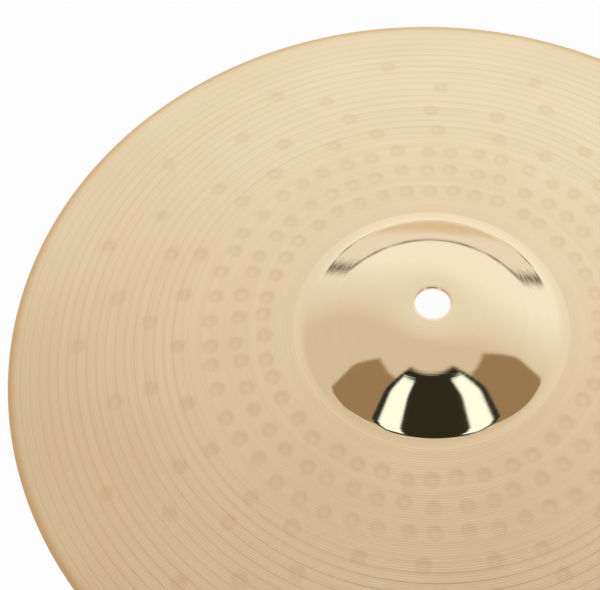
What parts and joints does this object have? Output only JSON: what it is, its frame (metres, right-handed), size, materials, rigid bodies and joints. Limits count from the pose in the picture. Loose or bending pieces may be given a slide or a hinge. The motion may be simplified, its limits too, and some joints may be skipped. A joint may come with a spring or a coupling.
{
  "type": "splash cymbal",
  "caption": "Small thin splash cymbal of hammered and lathed bronze, with a raised round bell, a shallow bow and a centre hole for a stand rod.",
  "frame": {"origin": "on the axis of the centre hole, at the height of the rim's lowest edge", "axes": "+Z along the axis of the cymbal, towards the bell; any two directions across it are alike"},
  "size_m": [0.3048, 0.3048, 0.0332],
  "materials": {
    "bronze": "turned bell bronze, semi-bright, pale gold"
  },
  "bodies": {
    "root": {"cymbal": "bronze"}
  },
  "joints": []
}
